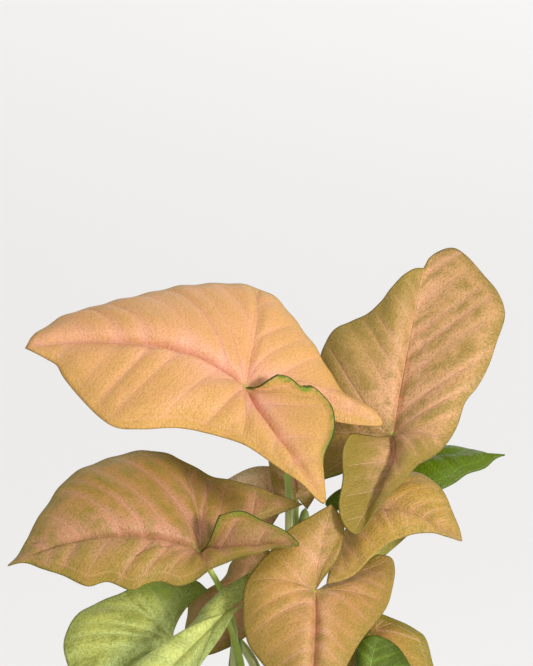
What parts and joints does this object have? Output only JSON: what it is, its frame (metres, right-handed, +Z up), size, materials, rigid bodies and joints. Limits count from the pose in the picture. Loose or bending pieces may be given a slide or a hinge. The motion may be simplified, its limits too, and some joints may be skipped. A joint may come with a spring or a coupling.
{
  "type": "arrowhead plant",
  "caption": "Potted arrowhead plant: waved peach, tan, golden and green arrow-shaped leaves on slim stalks from stems rooted in a plain clay pot.",
  "frame": {"origin": "centre of the pot's flat underside, on the pot's axis", "axes": "+Z up along the pot's axis; the plant's pictured front faces -Y, with +X to the viewer's right"},
  "size_m": [0.2087, 0.2048, 0.3307],
  "materials": {
    "leaf_olive": "satin",
    "leaf_peach": "satin",
    "leaf_pale_green": "satin",
    "leaf_mid_green": "satin",
    "leaf_gold": "satin",
    "leaf_rose": "satin",
    "leaf_bright_green": "satin",
    "leaf_dark_green": "satin",
    "leaf_tan": "satin",
    "clay": "matte",
    "soil": "matte",
    "stalk_green": "satin",
    "stalk_rose": "satin",
    "stem": "satin"
  },
  "bodies": {
    "root": {"leaf_centre": "leaf_olive", "leaf_front": "leaf_peach", "leaf_front_left": "leaf_pale_green", "leaf_left": "leaf_olive", "leaf_low_front": "leaf_mid_green", "leaf_low_front_right": "leaf_pale_green", "leaf_low_left": "leaf_pale_green", "leaf_low_left_side": "leaf_mid_green", "leaf_low_right": "leaf_gold", "leaf_low_right_side": "leaf_rose", "leaf_rear_high": "leaf_peach", "leaf_rear_left": "leaf_gold", "leaf_rear_low": "leaf_pale_green", "leaf_rear_middle": "leaf_rose", "leaf_rear_right": "leaf_bright_green", "leaf_rear_side": "leaf_mid_green", "leaf_rear_upper": "leaf_gold", "leaf_right": "leaf_gold", "leaf_small_right": "leaf_dark_green", "leaf_top_left": "leaf_peach", "leaf_top_right": "leaf_tan", "leaf_under_left": "leaf_rose", "pot": "clay", "soil": "soil", "stalk_centre": "stalk_green", "stalk_front": "stalk_green", "stalk_front_left": "stalk_green", "stalk_left": "stalk_green", "stalk_low_front": "stalk_green", "stalk_low_front_right": "stalk_green", "stalk_low_left": "stalk_green", "stalk_low_left_side": "stalk_green", "stalk_low_right": "stalk_rose", "stalk_low_right_side": "stalk_green", "stalk_rear_high": "stalk_green", "stalk_rear_left": "stalk_green", "stalk_rear_low": "stalk_green", "stalk_rear_middle": "stalk_green", "stalk_rear_right": "stalk_green", "stalk_rear_side": "stalk_green", "stalk_rear_upper": "stalk_green", "stalk_right": "stalk_green", "stalk_small_right": "stalk_green", "stalk_top_left": "stalk_green", "stalk_top_right": "stalk_rose", "stalk_under_left": "stalk_rose", "stem_left": "stem", "stem_middle": "stem", "stem_rear": "stem", "stem_right": "stem"}
  },
  "joints": []
}
